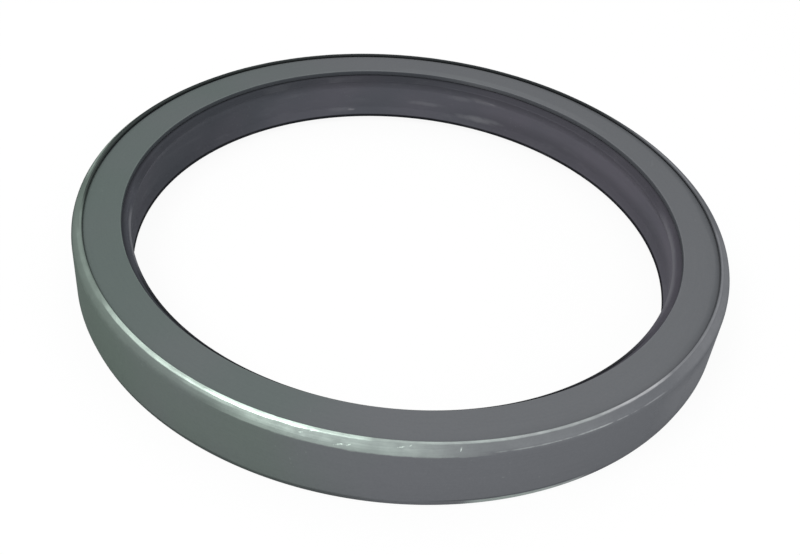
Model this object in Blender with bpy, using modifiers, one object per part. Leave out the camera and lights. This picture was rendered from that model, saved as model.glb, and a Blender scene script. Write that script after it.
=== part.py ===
"""Wheel hub oil seal: two pressed steel cases, a moulded rubber lip and its garter spring.

Metres, +Z up. The origin is the centre of the base and +Z is the seal's axis. The base is the air side.
The crimped rim faces up and is the oil side. Every piece is turned about the axis, so each is drawn as a
section in the XZ plane: X is the distance from the axis and Z the height over the base.
"""

import math

import bpy

# The housing and the shaft that the seal fits
SHAFT_DIAMETER = 0.160
SECTION = 0.015  # from the shaft to the housing's bore
WIDTH = 0.020

# Gap between two pieces that seat on each other
SEAT_GAP = 0.0003

# Outer case: a drawn cup whose edge is spun inwards over the inner case
CASE_SHEET = 0.0015
CASE_BEND = 0.0008  # inside radius between wall and base
BASE_CLEARANCE = 0.0040  # from the shaft to the hole in the base
BASE_BEVEL_HEIGHT = 0.0020  # the lead-in that starts the case in the housing's bore
BASE_BEVEL_WIDTH = 0.00055
BASE_BEVEL_ROUND = 0.0006
CRIMP_REACH = 0.0030  # how far the crimp folds in from the wall
CRIMP_FALL = 0.0017  # height of the crimp's cone
CRIMP_ROUND = 0.0022  # where the cone meets the wall
CREST_LAND = 0.0007  # level width on top of the crest, before its two sides are rounded
CREST_ROUND = 0.0003  # inner side of the crest
CREST_ROLL = 0.0010  # outer side, where the crest rolls over into the cone

# Inner case: an L section whose face shows inside the crimp
INNER_SHEET = 0.0015
INNER_BEND = 0.0007  # inside radius between wall and face
FACE_DEPTH = 0.0008  # from the crest down to the face
FACE_CLEARANCE = 0.0015  # from the shaft to the hole in the face
FACE_EDGE_ROUND = 0.0003

# Rubber element, from the heel that the cases clamp up to the lip's head
HEEL_THICKNESS = 0.0025
HEEL_FILLET = 0.0014
WALL_CLEARANCE = 0.0005  # from the shaft to the flex wall
WALL_THICKNESS = 0.0018
DUST_LIP_PRESS = 0.0008  # how far the free lip reaches inside the shaft's surface
DUST_LIP_LENGTH = 0.0032
DUST_LIP_LIFT = 0.0004  # from the heel's underside up to the dust lip's edge
DUST_LIP_FOOT = 0.0028  # width of the dust lip's sloping underside
MAIN_LIP_PRESS = 0.00105
MAIN_LIP_LENGTH = 0.0032  # height of the lip's cone on the air side
MAIN_LIP_OIL_ANGLE = 45.0  # degrees, between the oil side's cone and the axis
HEAD_CLEARANCE = 0.0003  # under the inner case's face
HEAD_HEIGHT = 0.0010  # from the lip's edge up to the top of the head
HEAD_ROUND = 0.0003

# Garter spring, drawn as the ring that its close-wound turns fill
COIL_DIAMETER = 0.0026
SPRING_SETBACK = 0.0014  # from the lip's edge down to the spring's centre, towards the air side
GROOVE_BACKING = 0.0020  # rubber between the lip's edge and the groove, measured across the axis
NOSE_REACH = 0.00085  # how far the head reaches past the spring's centre, over it
SHOULDER_REACH = 0.00045  # the same under the spring
SHOULDER_HEIGHT = 0.0006
SHOULDER_SLOPE = 0.0008

# Facets
TURN_STEPS = 96
FILLET_STEPS = 2
BEND_STEPS = 4
GROOVE_STEPS = 7
COIL_SIDES = 8
SHARP_ANGLE = 28.0  # degrees

# Heights and radii that several pieces share
SHAFT_RADIUS = SHAFT_DIAMETER / 2
CASE_RADIUS = SHAFT_RADIUS + SECTION
INNER_CASE_RADIUS = CASE_RADIUS - CASE_SHEET - SEAT_GAP
OUTER_BEND = INNER_BEND + INNER_SHEET
FACE_HEIGHT = WIDTH - FACE_DEPTH
FACE_UNDERSIDE = FACE_HEIGHT - INNER_SHEET
HEEL_UNDERSIDE = CASE_SHEET + SEAT_GAP
HEEL_TOP = HEEL_UNDERSIDE + HEEL_THICKNESS
HEAD_TOP = FACE_UNDERSIDE - HEAD_CLEARANCE
LIP_RADIUS = SHAFT_RADIUS - MAIN_LIP_PRESS
LIP_HEIGHT = HEAD_TOP - HEAD_HEIGHT
COIL_RADIUS = COIL_DIAMETER / 2
GROOVE_RADIUS = COIL_RADIUS + SEAT_GAP
SPRING_RADIUS = LIP_RADIUS + GROOVE_BACKING + GROOVE_RADIUS
SPRING_HEIGHT = LIP_HEIGHT - SPRING_SETBACK


def arc(centre, radius, start, end, steps):
    """Points along an arc of the section, with its angles in degrees turning from +X towards +Z."""
    angles = [math.radians(start + (end - start) * i / steps) for i in range(steps + 1)]
    return [(centre[0] + radius * math.cos(a), centre[1] + radius * math.sin(a)) for a in angles]


def fillet(before, corner, after, radius, steps=FILLET_STEPS):
    """Points of the arc that rounds a corner between its two neighbours."""
    to_before = math.atan2(before[1] - corner[1], before[0] - corner[0])
    to_after = math.atan2(after[1] - corner[1], after[0] - corner[0])
    opening = math.remainder(to_after - to_before, math.tau)
    half = abs(opening) / 2
    middle = to_before + opening / 2
    reach = radius / math.sin(half)
    centre = (corner[0] + reach * math.cos(middle), corner[1] + reach * math.sin(middle))
    sweep = math.degrees(math.copysign(math.pi / 2 - half, opening))
    facing = math.degrees(middle + math.pi)
    return arc(centre, radius, facing + sweep, facing - sweep, steps)


def rounded(corners):
    """The closed outline through corners given as (x, z) or, where rounded, (x, z, radius)."""
    outline = []
    for i, corner in enumerate(corners):
        if len(corner) == 2:
            outline.append(corner)
        else:
            after = corners[(i + 1) % len(corners)]
            outline += fillet(corners[i - 1], corner, after, corner[2])
    return outline


def finish(name, color, metallic, roughness):
    """A Principled material with one even colour."""
    material = bpy.data.materials.new(name)
    material.use_nodes = True
    shader = material.node_tree.nodes["Principled BSDF"]
    shader.inputs["Base Color"].default_value = (*color, 1)
    shader.inputs["Metallic"].default_value = metallic
    shader.inputs["Roughness"].default_value = roughness
    return material


def smooth(mesh):
    """Shades a mesh smooth, with its real corners left sharp."""
    mesh.shade_smooth()
    mesh.set_sharp_from_angle(angle=math.radians(SHARP_ANGLE))


def turned(name, outline, material, seal, axis):
    """A solid of revolution. The outline runs down its outer side, so that its faces point outwards."""
    section = bpy.data.meshes.new(name + "_section")
    edges = [(i, (i + 1) % len(outline)) for i in range(len(outline))]
    section.from_pydata([(x, 0, z) for x, z in outline], edges, [])
    piece = bpy.data.objects.new(name, section)
    seal.objects.link(piece)
    screw = piece.modifiers.new("turn", "SCREW")
    screw.axis = "Z"
    screw.steps = TURN_STEPS
    screw.render_steps = TURN_STEPS
    screw.use_merge_vertices = True
    screw.merge_threshold = 0.00001
    evaluated = piece.evaluated_get(bpy.context.evaluated_depsgraph_get())
    piece.data = bpy.data.meshes.new_from_object(evaluated)
    piece.data.name = name
    piece.modifiers.clear()
    bpy.data.meshes.remove(section)
    piece.data.materials.append(material)
    smooth(piece.data)
    piece.parent = axis
    return piece


def outer_case_outline():
    """The cup's section: crest, crimp, wall, bevelled base and the inside that holds the inner case."""
    crimp_radius = CASE_RADIUS - CRIMP_REACH
    bend_centre = (INNER_CASE_RADIUS - OUTER_BEND, FACE_HEIGHT - OUTER_BEND)
    bend_radius = OUTER_BEND + SEAT_GAP
    tip_cosine = max(0.0, (crimp_radius - bend_centre[0]) / bend_radius)
    tip_angle = math.degrees(math.acos(tip_cosine))
    inside = CASE_RADIUS - CASE_SHEET
    crimp_underside = arc(bend_centre, bend_radius, 0, tip_angle, BEND_STEPS)
    tip = (crimp_radius, crimp_underside[-1][1])
    base_hole = SHAFT_RADIUS + BASE_CLEARANCE
    return rounded(
        [
            (crimp_radius, WIDTH, CREST_ROUND),
            (crimp_radius + CREST_LAND, WIDTH, CREST_ROLL),
            (CASE_RADIUS, WIDTH - CRIMP_FALL, CRIMP_ROUND),
            (CASE_RADIUS, BASE_BEVEL_HEIGHT, BASE_BEVEL_ROUND),
            (CASE_RADIUS - BASE_BEVEL_WIDTH, 0, BASE_BEVEL_ROUND),
            (base_hole, 0),
            (base_hole, CASE_SHEET),
            (inside, CASE_SHEET, CASE_BEND),
            *crimp_underside[:-1],
            tip,
        ]
    )


def inner_case_outline():
    """The L section: a face under the crimp and a wall that stands on the rubber's heel."""
    foot = HEEL_TOP + SEAT_GAP
    inside = INNER_CASE_RADIUS - INNER_SHEET
    face_hole = SHAFT_RADIUS + FACE_CLEARANCE
    bend = fillet(
        (face_hole, FACE_HEIGHT),
        (INNER_CASE_RADIUS, FACE_HEIGHT),
        (INNER_CASE_RADIUS, foot),
        OUTER_BEND,
        BEND_STEPS,
    )
    return rounded(
        [
            *bend,
            (INNER_CASE_RADIUS, foot),
            (inside, foot),
            (inside, FACE_UNDERSIDE, INNER_BEND),
            (face_hole, FACE_UNDERSIDE),
            (face_hole, FACE_HEIGHT, FACE_EDGE_ROUND),
        ]
    )


def groove_outline():
    """The groove's arc, from the nose over the spring to the shoulder under it."""
    upper = math.degrees(math.acos(NOSE_REACH / GROOVE_RADIUS))
    lower = 360 - math.degrees(math.acos(SHOULDER_REACH / GROOVE_RADIUS))
    return arc((SPRING_RADIUS, SPRING_HEIGHT), GROOVE_RADIUS, upper, lower, GROOVE_STEPS)


def seal_lip_outline():
    """The rubber's section: head with spring groove, flex wall, clamped heel, dust lip and main lip."""
    wall_inside = SHAFT_RADIUS + WALL_CLEARANCE
    wall_outside = wall_inside + WALL_THICKNESS
    dust_edge = SHAFT_RADIUS - DUST_LIP_PRESS
    dust_height = HEEL_UNDERSIDE + DUST_LIP_LIFT
    head_width = HEAD_HEIGHT * math.tan(math.radians(MAIN_LIP_OIL_ANGLE))
    groove = groove_outline()
    shoulder_radius, shoulder_top = groove[-1]
    shoulder_foot = shoulder_top - SHOULDER_HEIGHT
    return rounded(
        [
            (SPRING_RADIUS + NOSE_REACH, HEAD_TOP, HEAD_ROUND),
            *groove,
            (shoulder_radius, shoulder_foot),
            (wall_outside, shoulder_foot - SHOULDER_SLOPE),
            (wall_outside, HEEL_TOP, HEEL_FILLET),
            (INNER_CASE_RADIUS, HEEL_TOP),
            (INNER_CASE_RADIUS, HEEL_UNDERSIDE, CASE_BEND),
            (dust_edge + DUST_LIP_FOOT, HEEL_UNDERSIDE),
            (dust_edge, dust_height),
            (wall_inside, dust_height + DUST_LIP_LENGTH),
            (wall_inside, LIP_HEIGHT - MAIN_LIP_LENGTH),
            (LIP_RADIUS, LIP_HEIGHT),
            (LIP_RADIUS + head_width, HEAD_TOP, HEAD_ROUND),
        ]
    )


def garter_spring(material, seal, axis):
    """The ring that the spring's close-wound turns fill, seated in the groove."""
    bpy.ops.mesh.primitive_torus_add(
        location=(0, 0, SPRING_HEIGHT),
        major_radius=SPRING_RADIUS,
        minor_radius=COIL_RADIUS,
        major_segments=TURN_STEPS,
        minor_segments=COIL_SIDES,
    )
    spring = bpy.context.object
    spring.name = "garter_spring"
    spring.data.name = spring.name
    spring.data.materials.append(material)
    smooth(spring.data)
    for collection in list(spring.users_collection):
        collection.objects.unlink(spring)
    seal.objects.link(spring)
    spring.parent = axis
    return spring


def main():
    for thing in list(bpy.data.objects):
        bpy.data.objects.remove(thing, do_unlink=True)
    seal = bpy.data.collections.new("wheel_hub_oil_seal")
    bpy.context.scene.collection.children.link(seal)
    axis = bpy.data.objects.new("seal_axis", None)
    seal.objects.link(axis)

    case_steel = finish("case_steel", (0.13, 0.14, 0.14), metallic=0.6, roughness=0.5)
    face_steel = finish("face_steel", (0.13, 0.15, 0.145), metallic=0.6, roughness=0.55)
    rubber = finish("rubber", (0.045, 0.043, 0.052), metallic=0.0, roughness=0.6)
    spring_steel = finish("spring_steel", (0.45, 0.45, 0.46), metallic=1.0, roughness=0.35)

    turned("outer_case", outer_case_outline(), case_steel, seal, axis)
    turned("inner_case", inner_case_outline(), face_steel, seal, axis)
    turned("seal_lip", seal_lip_outline(), rubber, seal, axis)
    garter_spring(spring_steel, seal, axis)


main()
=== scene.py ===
"""Studio scene of a wheel hub oil seal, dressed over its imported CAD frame.

The seal is four turned pieces: a crimped outer case, a pressed inner case, a moulded lip and a
garter spring. Each is made again here at a finer pitch than the CAD, in the same place and to the
same sizes, and gets its own finish. Lengths are in metres and angles in degrees unless a name or
a note says otherwise.
"""

import logging
import math
from dataclasses import dataclass
from enum import Enum

import bpy
from mathutils import Matrix, Vector


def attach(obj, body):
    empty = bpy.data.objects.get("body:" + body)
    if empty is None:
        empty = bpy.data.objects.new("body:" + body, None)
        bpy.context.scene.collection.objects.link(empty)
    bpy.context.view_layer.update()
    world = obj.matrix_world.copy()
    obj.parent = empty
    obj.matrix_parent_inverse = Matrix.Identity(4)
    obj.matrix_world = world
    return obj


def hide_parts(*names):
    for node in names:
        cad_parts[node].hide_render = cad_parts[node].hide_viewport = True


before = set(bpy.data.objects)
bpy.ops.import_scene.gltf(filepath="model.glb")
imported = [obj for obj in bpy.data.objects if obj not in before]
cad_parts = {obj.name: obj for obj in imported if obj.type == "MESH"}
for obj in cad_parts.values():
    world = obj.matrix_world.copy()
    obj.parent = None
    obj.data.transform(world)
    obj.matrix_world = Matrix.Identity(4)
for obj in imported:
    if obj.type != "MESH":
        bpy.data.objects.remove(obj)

MM = 0.001
PHOTO_WIDTH = 800
SENSOR_WIDTH = 36.0
SMOOTH_ANGLE = 35.0

FLOAT = "NodeSocketFloat"
VECTOR = "NodeSocketVector"
COUNT = "NodeSocketInt"
SHAPE = "NodeSocketGeometry"

Point = tuple[float, float]
Colour = tuple[float, float, float, float]
Socket = bpy.types.NodeSocket
Value = Socket | float | int | tuple

log = logging.getLogger("wheel_hub_oil_seal")


class Slot(Enum):
    """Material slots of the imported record."""

    CASE = "case_steel"
    FACE = "face_steel"
    RUBBER = "rubber"
    SPRING = "spring_steel"


class Look(Enum):
    """How broken an edge band is, for scuffed steel, painted shade and painted highlights alike."""

    EVEN = 0.1
    SOLID = 0.25
    PATCHY = 0.6
    BROKEN = 1.0


def paint(red: int, green: int, blue: int) -> Colour:
    """Turn a colour as a screen shows it into the scene's linear values.

    Args:
        red: Red as shown, 0 to 255.
        green: Green as shown, 0 to 255.
        blue: Blue as shown, 0 to 255.

    Returns:
        The linear colour with a full alpha.
    """
    shown = (red / 255, green / 255, blue / 255)
    linear = [s / 12.92 if s <= 0.04045 else ((s + 0.055) / 1.055) ** 2.4 for s in shown]
    return (*linear, 1.0)


def toward(azimuth: float) -> Vector:
    """Give the level direction of an azimuth, anticlockwise from +X."""
    turn = math.radians(azimuth)
    return Vector((math.cos(turn), math.sin(turn), 0.0))


def add_object(name: str, data: bpy.types.ID) -> bpy.types.Object:
    """Put an object into the scene.

    Args:
        name: Name of the object.
        data: Its mesh, light or camera.

    Returns:
        The object, at the origin.
    """
    thing = bpy.data.objects.new(name, data)
    bpy.context.scene.collection.objects.link(thing)
    return thing


def sockets(kind: str, *names: str) -> dict[str, str]:
    """Give several sockets of a node group the same type."""
    return dict.fromkeys(names, kind)


class Wiring:
    """Adds nodes to one tree and joins them."""

    def __init__(self, tree: bpy.types.NodeTree) -> None:
        """Keep the tree that nodes are added to."""
        self.tree = tree

    def add(self, kind: str, **settings: object) -> bpy.types.Node:
        """Add one node and set its options.

        Args:
            kind: Blender's name for the node's type.
            **settings: Options of the node, by attribute name.

        Returns:
            The new node.
        """
        node = self.tree.nodes.new(kind)
        for name, value in settings.items():
            setattr(node, name, value)
        return node

    def feed(self, socket: Socket, value: Value) -> None:
        """Give a socket its value, or join it to the socket that gives it.

        Args:
            socket: The input.
            value: A number, a tuple or an output of another node.
        """
        if isinstance(value, bpy.types.NodeSocket):
            self.tree.links.new(value, socket)
        else:
            socket.default_value = value

    def feed_named(self, node: bpy.types.Node, inputs: dict[str, Value]) -> bpy.types.Node:
        """Feed inputs of a node by name.

        Args:
            node: The node.
            inputs: Its inputs, with underscores for the spaces in their names.

        Returns:
            The node.
        """
        for name, value in inputs.items():
            self.feed(node.inputs[name.replace("_", " ")], value)
        return node

    def put(self, kind: str, out: str, **inputs: Value) -> Socket:
        """Add a node, feed its inputs by name and give one of its outputs."""
        return self.feed_named(self.add(kind), inputs).outputs[out]

    def place(self, group: bpy.types.NodeTree, **inputs: Value) -> bpy.types.NodeOutputs:
        """Place a node group, feed its inputs by name and give its outputs."""
        node = self.add("ShaderNodeGroup", node_tree=group)
        return self.feed_named(node, inputs).outputs

    def fill(self, node: bpy.types.Node, out: str, *values: Value) -> Socket:
        """Feed a node's inputs in their order.

        Args:
            node: The node.
            out: Name of the output that is wanted.
            *values: Its inputs, from the first.

        Returns:
            That output.
        """
        for socket, value in zip(node.inputs, values):
            self.feed(socket, value)
        return node.outputs[out]

    def math(self, operation: str, *values: Value) -> Socket:
        """Work out a number."""
        return self.fill(self.add("ShaderNodeMath", operation=operation), "Value", *values)

    def vector(self, operation: str, *values: Value, out: str = "Vector") -> Socket:
        """Work out a vector, or a number from vectors."""
        return self.fill(self.add("ShaderNodeVectorMath", operation=operation), out, *values)

    def length(self, vector: Value) -> Socket:
        """Measure a vector."""
        return self.vector("LENGTH", vector, out="Value")

    def dot(self, first: Value, second: Value) -> Socket:
        """Multiply two vectors to a number."""
        return self.vector("DOT_PRODUCT", first, second, out="Value")

    def scaled(self, vector: Value, factor: Value) -> Socket:
        """Make a vector longer or shorter."""
        node = self.add("ShaderNodeVectorMath", operation="SCALE")
        return self.feed_named(node, {"Vector": vector, "Scale": factor}).outputs["Vector"]

    def parts(self, vector: Value) -> tuple[Socket, Socket, Socket]:
        """Split a vector into its X, Y and Z."""
        node = self.feed_named(self.add("ShaderNodeSeparateXYZ"), {"Vector": vector})
        return node.outputs["X"], node.outputs["Y"], node.outputs["Z"]

    def join(self, x: Value, y: Value, z: Value) -> Socket:
        """Join three numbers to a vector."""
        return self.fill(self.add("ShaderNodeCombineXYZ"), "Vector", x, y, z)

    def fade(self, value: Value, start: Value, end: Value,
             low: float = 0.0, high: float = 1.0) -> Socket:
        """Map a value smoothly from one range to another and hold it at both ends."""
        node = self.add("ShaderNodeMapRange", interpolation_type="SMOOTHSTEP")
        return self.fill(node, "Result", value, start, end, low, high)

    def noise(self, place: Value, scale: Value, detail: float = 2.0, rough: float = 0.5) -> Socket:
        """Read a noise at a place, 0 to 1 about a half, with its fineness per metre."""
        return self.put("ShaderNodeTexNoise", "Fac", Vector=place, Scale=scale, Detail=detail,
                        Roughness=rough)

    def blend(self, share: Value, first: Value, second: Value) -> Socket:
        """Mix two colours.

        Args:
            share: How much of the second, 0 to 1.
            first: The first colour.
            second: The second colour.

        Returns:
            The mixed colour.
        """
        node = self.add("ShaderNodeMix", data_type="RGBA")
        colours = [s for s in node.inputs if s.type == "RGBA"]
        self.feed(node.inputs["Factor"], share)
        self.feed(colours[0], first)
        self.feed(colours[1], second)
        return next(s for s in node.outputs if s.type == "RGBA")

    def dress(self, mesh: Socket, finish: Value) -> Socket:
        """Shade a mesh smooth, make it real and give it its material.

        Args:
            mesh: The mesh.
            finish: The material.

        Returns:
            The dressed mesh.
        """
        smooth = self.put("GeometryNodeSetShadeSmooth", "Geometry", Geometry=mesh)
        real = self.put("GeometryNodeRealizeInstances", "Geometry", Geometry=smooth)
        return self.put("GeometryNodeSetMaterial", "Geometry", Geometry=real, Material=finish)


class Group(Wiring):
    """The wiring of a new node group."""

    def __init__(self, name: str, inputs: dict[str, str], outputs: dict[str, str],
                 kind: str = "ShaderNodeTree") -> None:
        """Make the group with its sockets.

        Args:
            name: Name of the group.
            inputs: Socket types by name.
            outputs: Socket types by name.
            kind: Type of the tree.
        """
        super().__init__(bpy.data.node_groups.new(name, kind))
        for side, named in (("INPUT", inputs), ("OUTPUT", outputs)):
            for label, socket in named.items():
                self.tree.interface.new_socket(label, in_out=side, socket_type=socket)
        self.given = self.add("NodeGroupInput").outputs
        self.end = self.add("NodeGroupOutput")

    def close(self, **results: Socket) -> bpy.types.NodeTree:
        """Feed the group's outputs by name and give its tree."""
        self.feed_named(self.end, results)
        return self.tree


class Effects:
    """Shader node groups that more than one material uses."""

    TRACK_LEAN = -1.37
    REACH_SWING = 3.0
    MARK_DEPTH = 25.0
    WARP_SCALE = 90.0
    WARP_REACH = (0.002, 0.002, 0.002)
    SCRATCH_WIDTH = 0.03

    def __init__(self) -> None:
        """Build every group once."""
        self.turned_place = self.make_turned_place()
        self.edge_wear_and_painted_light = self.make_edge_wear_and_painted_light()
        self.mark = self.make_mark()
        self.turning_grain = self.make_turning_grain()
        self.tint_drift = self.make_tint_drift()
        self.scratches = self.make_scratches()
        self.specks = self.make_specks()

    def make_turned_place(self) -> bpy.types.NodeTree:
        """Make the group that reads a place as radius, height and a track round the axis.

        Returns:
            The group's tree.
        """
        group = Group("turned_place", sockets(VECTOR, "Place"),
                      sockets(FLOAT, "Radius", "Height") | sockets(VECTOR, "Track"))
        x, y, z = group.parts(group.given["Place"])
        radius = group.length(group.join(x, y, 0.0))
        across = group.math("MULTIPLY_ADD", z, self.TRACK_LEAN, radius)
        track = group.join(group.math("DIVIDE", x, radius), group.math("DIVIDE", y, radius), across)
        return group.close(Radius=radius, Height=z, Track=track)

    def make_edge_wear_and_painted_light(self) -> bpy.types.NodeTree:
        """Make the group that masks a band round a turned edge, for scuffed steel, painted shade and
        painted highlights.

        Returns:
            The group's tree.
        """
        group = Group(
            "edge_wear_and_painted_light",
            sockets(VECTOR, "Place", "Sector")
            | sockets(FLOAT, "Radius", "Height", "Edge Radius", "Edge Height", "Reach",
                      "Crispness", "Patch Scale", "Patchiness", "Sector Edge", "Sector Full"),
            sockets(FLOAT, "Mask"),
        )
        given = group.given
        out = group.math("SUBTRACT", given["Radius"], given["Edge Radius"])
        up = group.math("SUBTRACT", given["Height"], given["Edge Height"])
        away = group.length(group.join(out, up, 0.0))
        patch = group.noise(given["Place"], given["Patch Scale"], 4.0, 0.6)
        uneven = group.math("MULTIPLY", group.math("SUBTRACT", patch, 0.5), given["Patchiness"])
        stretch = group.math("MULTIPLY_ADD", uneven, self.REACH_SWING, 1.0)
        reach = group.math("MULTIPLY", given["Reach"], stretch)
        full = group.math("MULTIPLY", reach, given["Crispness"])
        near = group.fade(away, full, reach, 1.0, 0.0)
        along = group.dot(given["Place"], given["Sector"])
        facing = group.math("DIVIDE", along, given["Radius"])
        inside = group.fade(facing, given["Sector Edge"], given["Sector Full"])
        return group.close(Mask=group.math("MULTIPLY", near, inside))

    def make_mark(self) -> bpy.types.NodeTree:
        """Make the group that masks one short mark with a ragged outline.

        Returns:
            The group's tree.
        """
        group = Group(
            "short_mark",
            sockets(VECTOR, "Place", "Spot", "Along", "Across")
            | sockets(FLOAT, "Grain", "Raggedness"),
            sockets(FLOAT, "Mask"),
        )
        given = group.given
        shift = group.vector("SUBTRACT", given["Place"], given["Spot"])
        along, across = group.dot(shift, given["Along"]), group.dot(shift, given["Across"])
        deep = group.math("MULTIPLY", group.length(shift), self.MARK_DEPTH)
        away = group.length(group.join(along, across, deep))
        ragged = group.noise(given["Place"], given["Grain"], 3.0, 0.6)
        ragged = group.math("SUBTRACT", ragged, 0.5)
        away = group.math("MULTIPLY_ADD", ragged, given["Raggedness"], away)
        return group.close(Mask=group.fade(away, 0.1, 1.0, 1.0, 0.0))

    def make_turning_grain(self) -> bpy.types.NodeTree:
        """Make the group of fine lines that run round the axis.

        Returns:
            The group's tree.
        """
        group = Group("turning_grain", sockets(VECTOR, "Track") | sockets(FLOAT, "Along", "Across"),
                      sockets(FLOAT, "Lines"))
        given = group.given
        scale = group.join(given["Along"], given["Along"], given["Across"])
        track = group.vector("MULTIPLY", given["Track"], scale)
        return group.close(Lines=group.noise(track, 1.0, 3.0, 0.65))

    def make_tint_drift(self) -> bpy.types.NodeTree:
        """Make the group that drifts from one tint to another across the piece, in soft patches.

        Returns:
            The group's tree.
        """
        group = Group(
            "tint_drift",
            sockets(VECTOR, "Place", "Toward")
            | sockets(FLOAT, "Offset", "Patch Scale", "Patch Strength"),
            sockets(FLOAT, "Share"),
        )
        given = group.given
        side = group.dot(given["Place"], given["Toward"])
        side = group.math("ADD", side, given["Offset"])
        patch = group.math("SUBTRACT", group.noise(given["Place"], given["Patch Scale"]), 0.5)
        both = group.math("MULTIPLY_ADD", patch, given["Patch Strength"], side)
        return group.close(Share=group.fade(both, -1.0, 1.0))

    def make_scratches(self) -> bpy.types.NodeTree:
        """Make the group of short hair scratches.

        Returns:
            The group's tree.
        """
        group = Group(
            "hair_scratches",
            sockets(VECTOR, "Place", "Stretch") | sockets(FLOAT, "Cut", "Patch Scale"),
            sockets(FLOAT, "Mask"),
        )
        given = group.given
        warp = group.put("ShaderNodeTexNoise", "Color", Vector=given["Place"],
                         Scale=self.WARP_SCALE)
        bent = group.vector("MULTIPLY_ADD", warp, self.WARP_REACH, given["Place"])
        drawn = group.noise(group.vector("MULTIPLY", bent, given["Stretch"]), 1.0, 1.0, 0.5)
        cut_end = group.math("ADD", given["Cut"], self.SCRATCH_WIDTH)
        line = group.fade(drawn, given["Cut"], cut_end)
        patch = group.fade(group.noise(given["Place"], given["Patch Scale"], 3.0), 0.5, 0.6)
        return group.close(Mask=group.math("MULTIPLY", line, patch))

    def make_specks(self) -> bpy.types.NodeTree:
        """Make the group of dust specks gathered in patches, and of the film between them.

        Returns:
            The group's tree.
        """
        group = Group(
            "dust_specks",
            sockets(VECTOR, "Place") | sockets(FLOAT, "Speck Scale", "Speck Size", "Patch Scale"),
            sockets(FLOAT, "Mask", "Film"),
        )
        given = group.given
        cell = group.put("ShaderNodeTexVoronoi", "Distance", Vector=given["Place"],
                         Scale=given["Speck Scale"])
        half = group.math("MULTIPLY", given["Speck Size"], 0.5)
        dot = group.fade(cell, half, given["Speck Size"], 1.0, 0.0)
        patch = group.noise(given["Place"], given["Patch Scale"], 4.0, 0.6)
        specks = group.math("MULTIPLY", dot, group.fade(patch, 0.5, 0.62))
        return group.close(Mask=specks, Film=group.fade(patch, 0.42, 0.7))


@dataclass(frozen=True)
class WearAndPaintedLightEdge:
    """A band round a turned edge, used for scuffed steel, for painted shade and for painted
    highlights.

    Attributes:
        radius: Distance of the edge from the axis, in millimetres.
        height: Height of the edge, in millimetres.
        reach: How far the band spreads from it, in millimetres.
        strength: How much of its finish's colour for the band it takes.
        look: How broken the line is.
        patch_scale: How fine its breaks are, per metre.
        azimuth: Middle of the band's sector, anticlockwise from +X.
        span: Half of the sector's angle, or 180 for the whole ring.
        core: Half of the angle within which the band is full.
        crispness: Share of the reach within which the band is full.
    """

    radius: float
    height: float
    reach: float
    strength: float
    look: Look
    patch_scale: float
    azimuth: float = 0.0
    span: float = 180.0
    core: float = 0.0
    crispness: float = 0.35

    BELOW_EVERY_COSINE = (-1.2, -1.1)

    def mask(self, surface: "Surface", effects: Effects, radius: Socket, height: Socket) -> Socket:
        """Mask the band.

        Args:
            surface: The material.
            effects: The shared node groups.
            radius: Distance from the axis at each place.
            height: Height of each place.

        Returns:
            The mask.
        """
        outer, full = self.BELOW_EVERY_COSINE
        if self.span < 180.0:
            outer, full = math.cos(math.radians(self.span)), math.cos(math.radians(self.core))
        wear_and_painted_light_mask = surface.place(
            effects.edge_wear_and_painted_light, Place=surface.spot, Radius=radius, Height=height,
            Edge_Radius=self.radius * MM, Edge_Height=self.height * MM, Reach=self.reach * MM,
            Crispness=self.crispness, Patch_Scale=self.patch_scale, Patchiness=self.look.value,
            Sector=tuple(toward(self.azimuth)), Sector_Edge=outer, Sector_Full=full,
        )
        return surface.math("MULTIPLY", wear_and_painted_light_mask["Mask"], self.strength)


@dataclass(frozen=True)
class Mark:
    """A short mark on a turned surface, used for scratches and rubs and for light streaks painted as
    reflections.

    Attributes:
        azimuth: Direction of its middle, anticlockwise from +X.
        radius: Distance of its middle from the axis, in millimetres.
        height: Height of its middle, in millimetres.
        length: Half of its length, in millimetres.
        width: Half of its width, in millimetres.
        strength: How much of the mark's colour it takes.
        slant: Turn of the mark from the direction round the axis.
        slope: Slope of the surface it lies on, 90 for an upright wall.
        grain: How fine its ragged outline is, per metre.
        raggedness: How ragged that outline is.
    """

    azimuth: float
    radius: float
    height: float
    length: float
    width: float
    strength: float
    slant: float
    slope: float
    grain: float = 2600.0
    raggedness: float = 1.8

    def mask(self, surface: "Surface", effects: Effects) -> Socket:
        """Mask the mark.

        Args:
            surface: The material.
            effects: The shared node groups.

        Returns:
            The mask.
        """
        rise, slant = math.radians(self.slope), math.radians(self.slant)
        outward, around = toward(self.azimuth), toward(self.azimuth + 90.0)
        uphill = Vector((0.0, 0.0, math.sin(rise))) - outward * math.cos(rise)
        along = around * math.cos(slant) + uphill * math.sin(slant)
        across = uphill * math.cos(slant) - around * math.sin(slant)
        spot = outward * (self.radius * MM) + Vector((0.0, 0.0, self.height * MM))
        mark = surface.place(
            effects.mark, Place=surface.spot, Spot=tuple(spot),
            Along=tuple(along / (self.length * MM)), Across=tuple(across / (self.width * MM)),
            Grain=self.grain, Raggedness=self.raggedness,
        )
        return surface.math("MULTIPLY", mark["Mask"], self.strength)


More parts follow.
